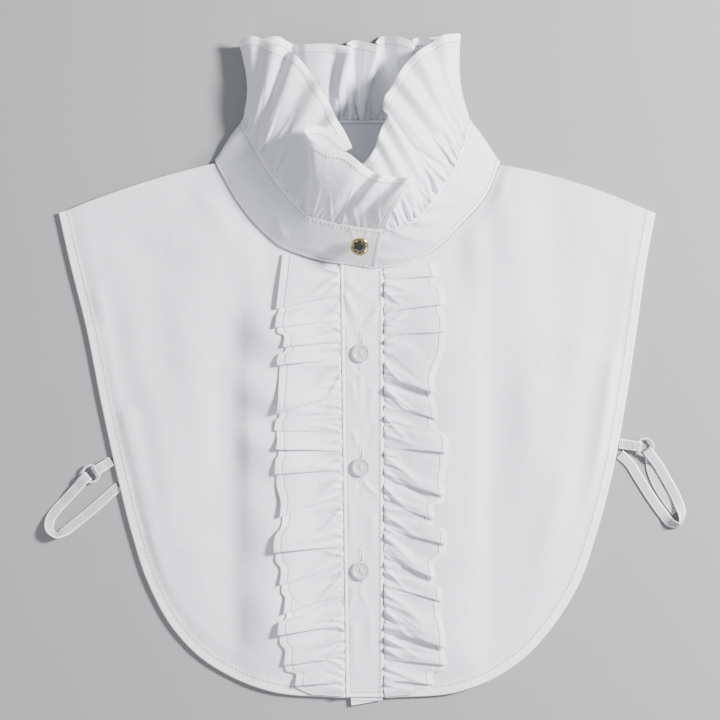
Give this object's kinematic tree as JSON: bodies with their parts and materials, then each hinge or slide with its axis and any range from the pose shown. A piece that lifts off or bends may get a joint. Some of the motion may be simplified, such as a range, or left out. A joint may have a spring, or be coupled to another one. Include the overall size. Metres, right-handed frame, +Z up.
{
  "type": "ruffled collar",
  "caption": "Detachable ruffled collar laid flat: gathered neck ruffle on a stand band, buttoned bib front with ruffles beside its placket, and elastic side loops.",
  "frame": {"origin": "on the back panel's underside, at the middle of the bib, 149 mm above its bottom edge", "axes": "+Z up from the surface it lies on, +Y from the bib's bottom towards the neck ruffle, +X towards the wearer's left side"},
  "size_m": [0.3848, 0.4016, 0.0478],
  "materials": {
    "white_cotton": "thin white cotton poplin, plain weave",
    "ribbed_elastic": "white ribbed flat elastic",
    "clear_white_plastic": "glossy translucent white plastic",
    "gold_metal": "polished gold-coloured metal",
    "grey_stone": "dark mirror-like stone"
  },
  "bodies": {
    "root": {"back_panel": "white_cotton", "front_panel_right_side": "white_cotton", "front_panel_left_side": "white_cotton", "button_stand": "white_cotton", "placket": "white_cotton", "stand_band": "white_cotton", "collar_ruffle": "white_cotton", "placket_ruffle_right_side": "white_cotton", "placket_ruffle_left_side": "white_cotton", "elastic_loop_right_side": "ribbed_elastic", "elastic_tab_right_side": "ribbed_elastic", "elastic_loop_left_side": "ribbed_elastic", "elastic_tab_left_side": "ribbed_elastic", "shirt_button_1": "clear_white_plastic", "shirt_button_2": "clear_white_plastic", "shirt_button_3": "clear_white_plastic", "strap_ring_right_side": "clear_white_plastic", "strap_ring_left_side": "clear_white_plastic", "neck_button_rim": "gold_metal", "neck_button_stone": "grey_stone"}
  },
  "joints": []
}
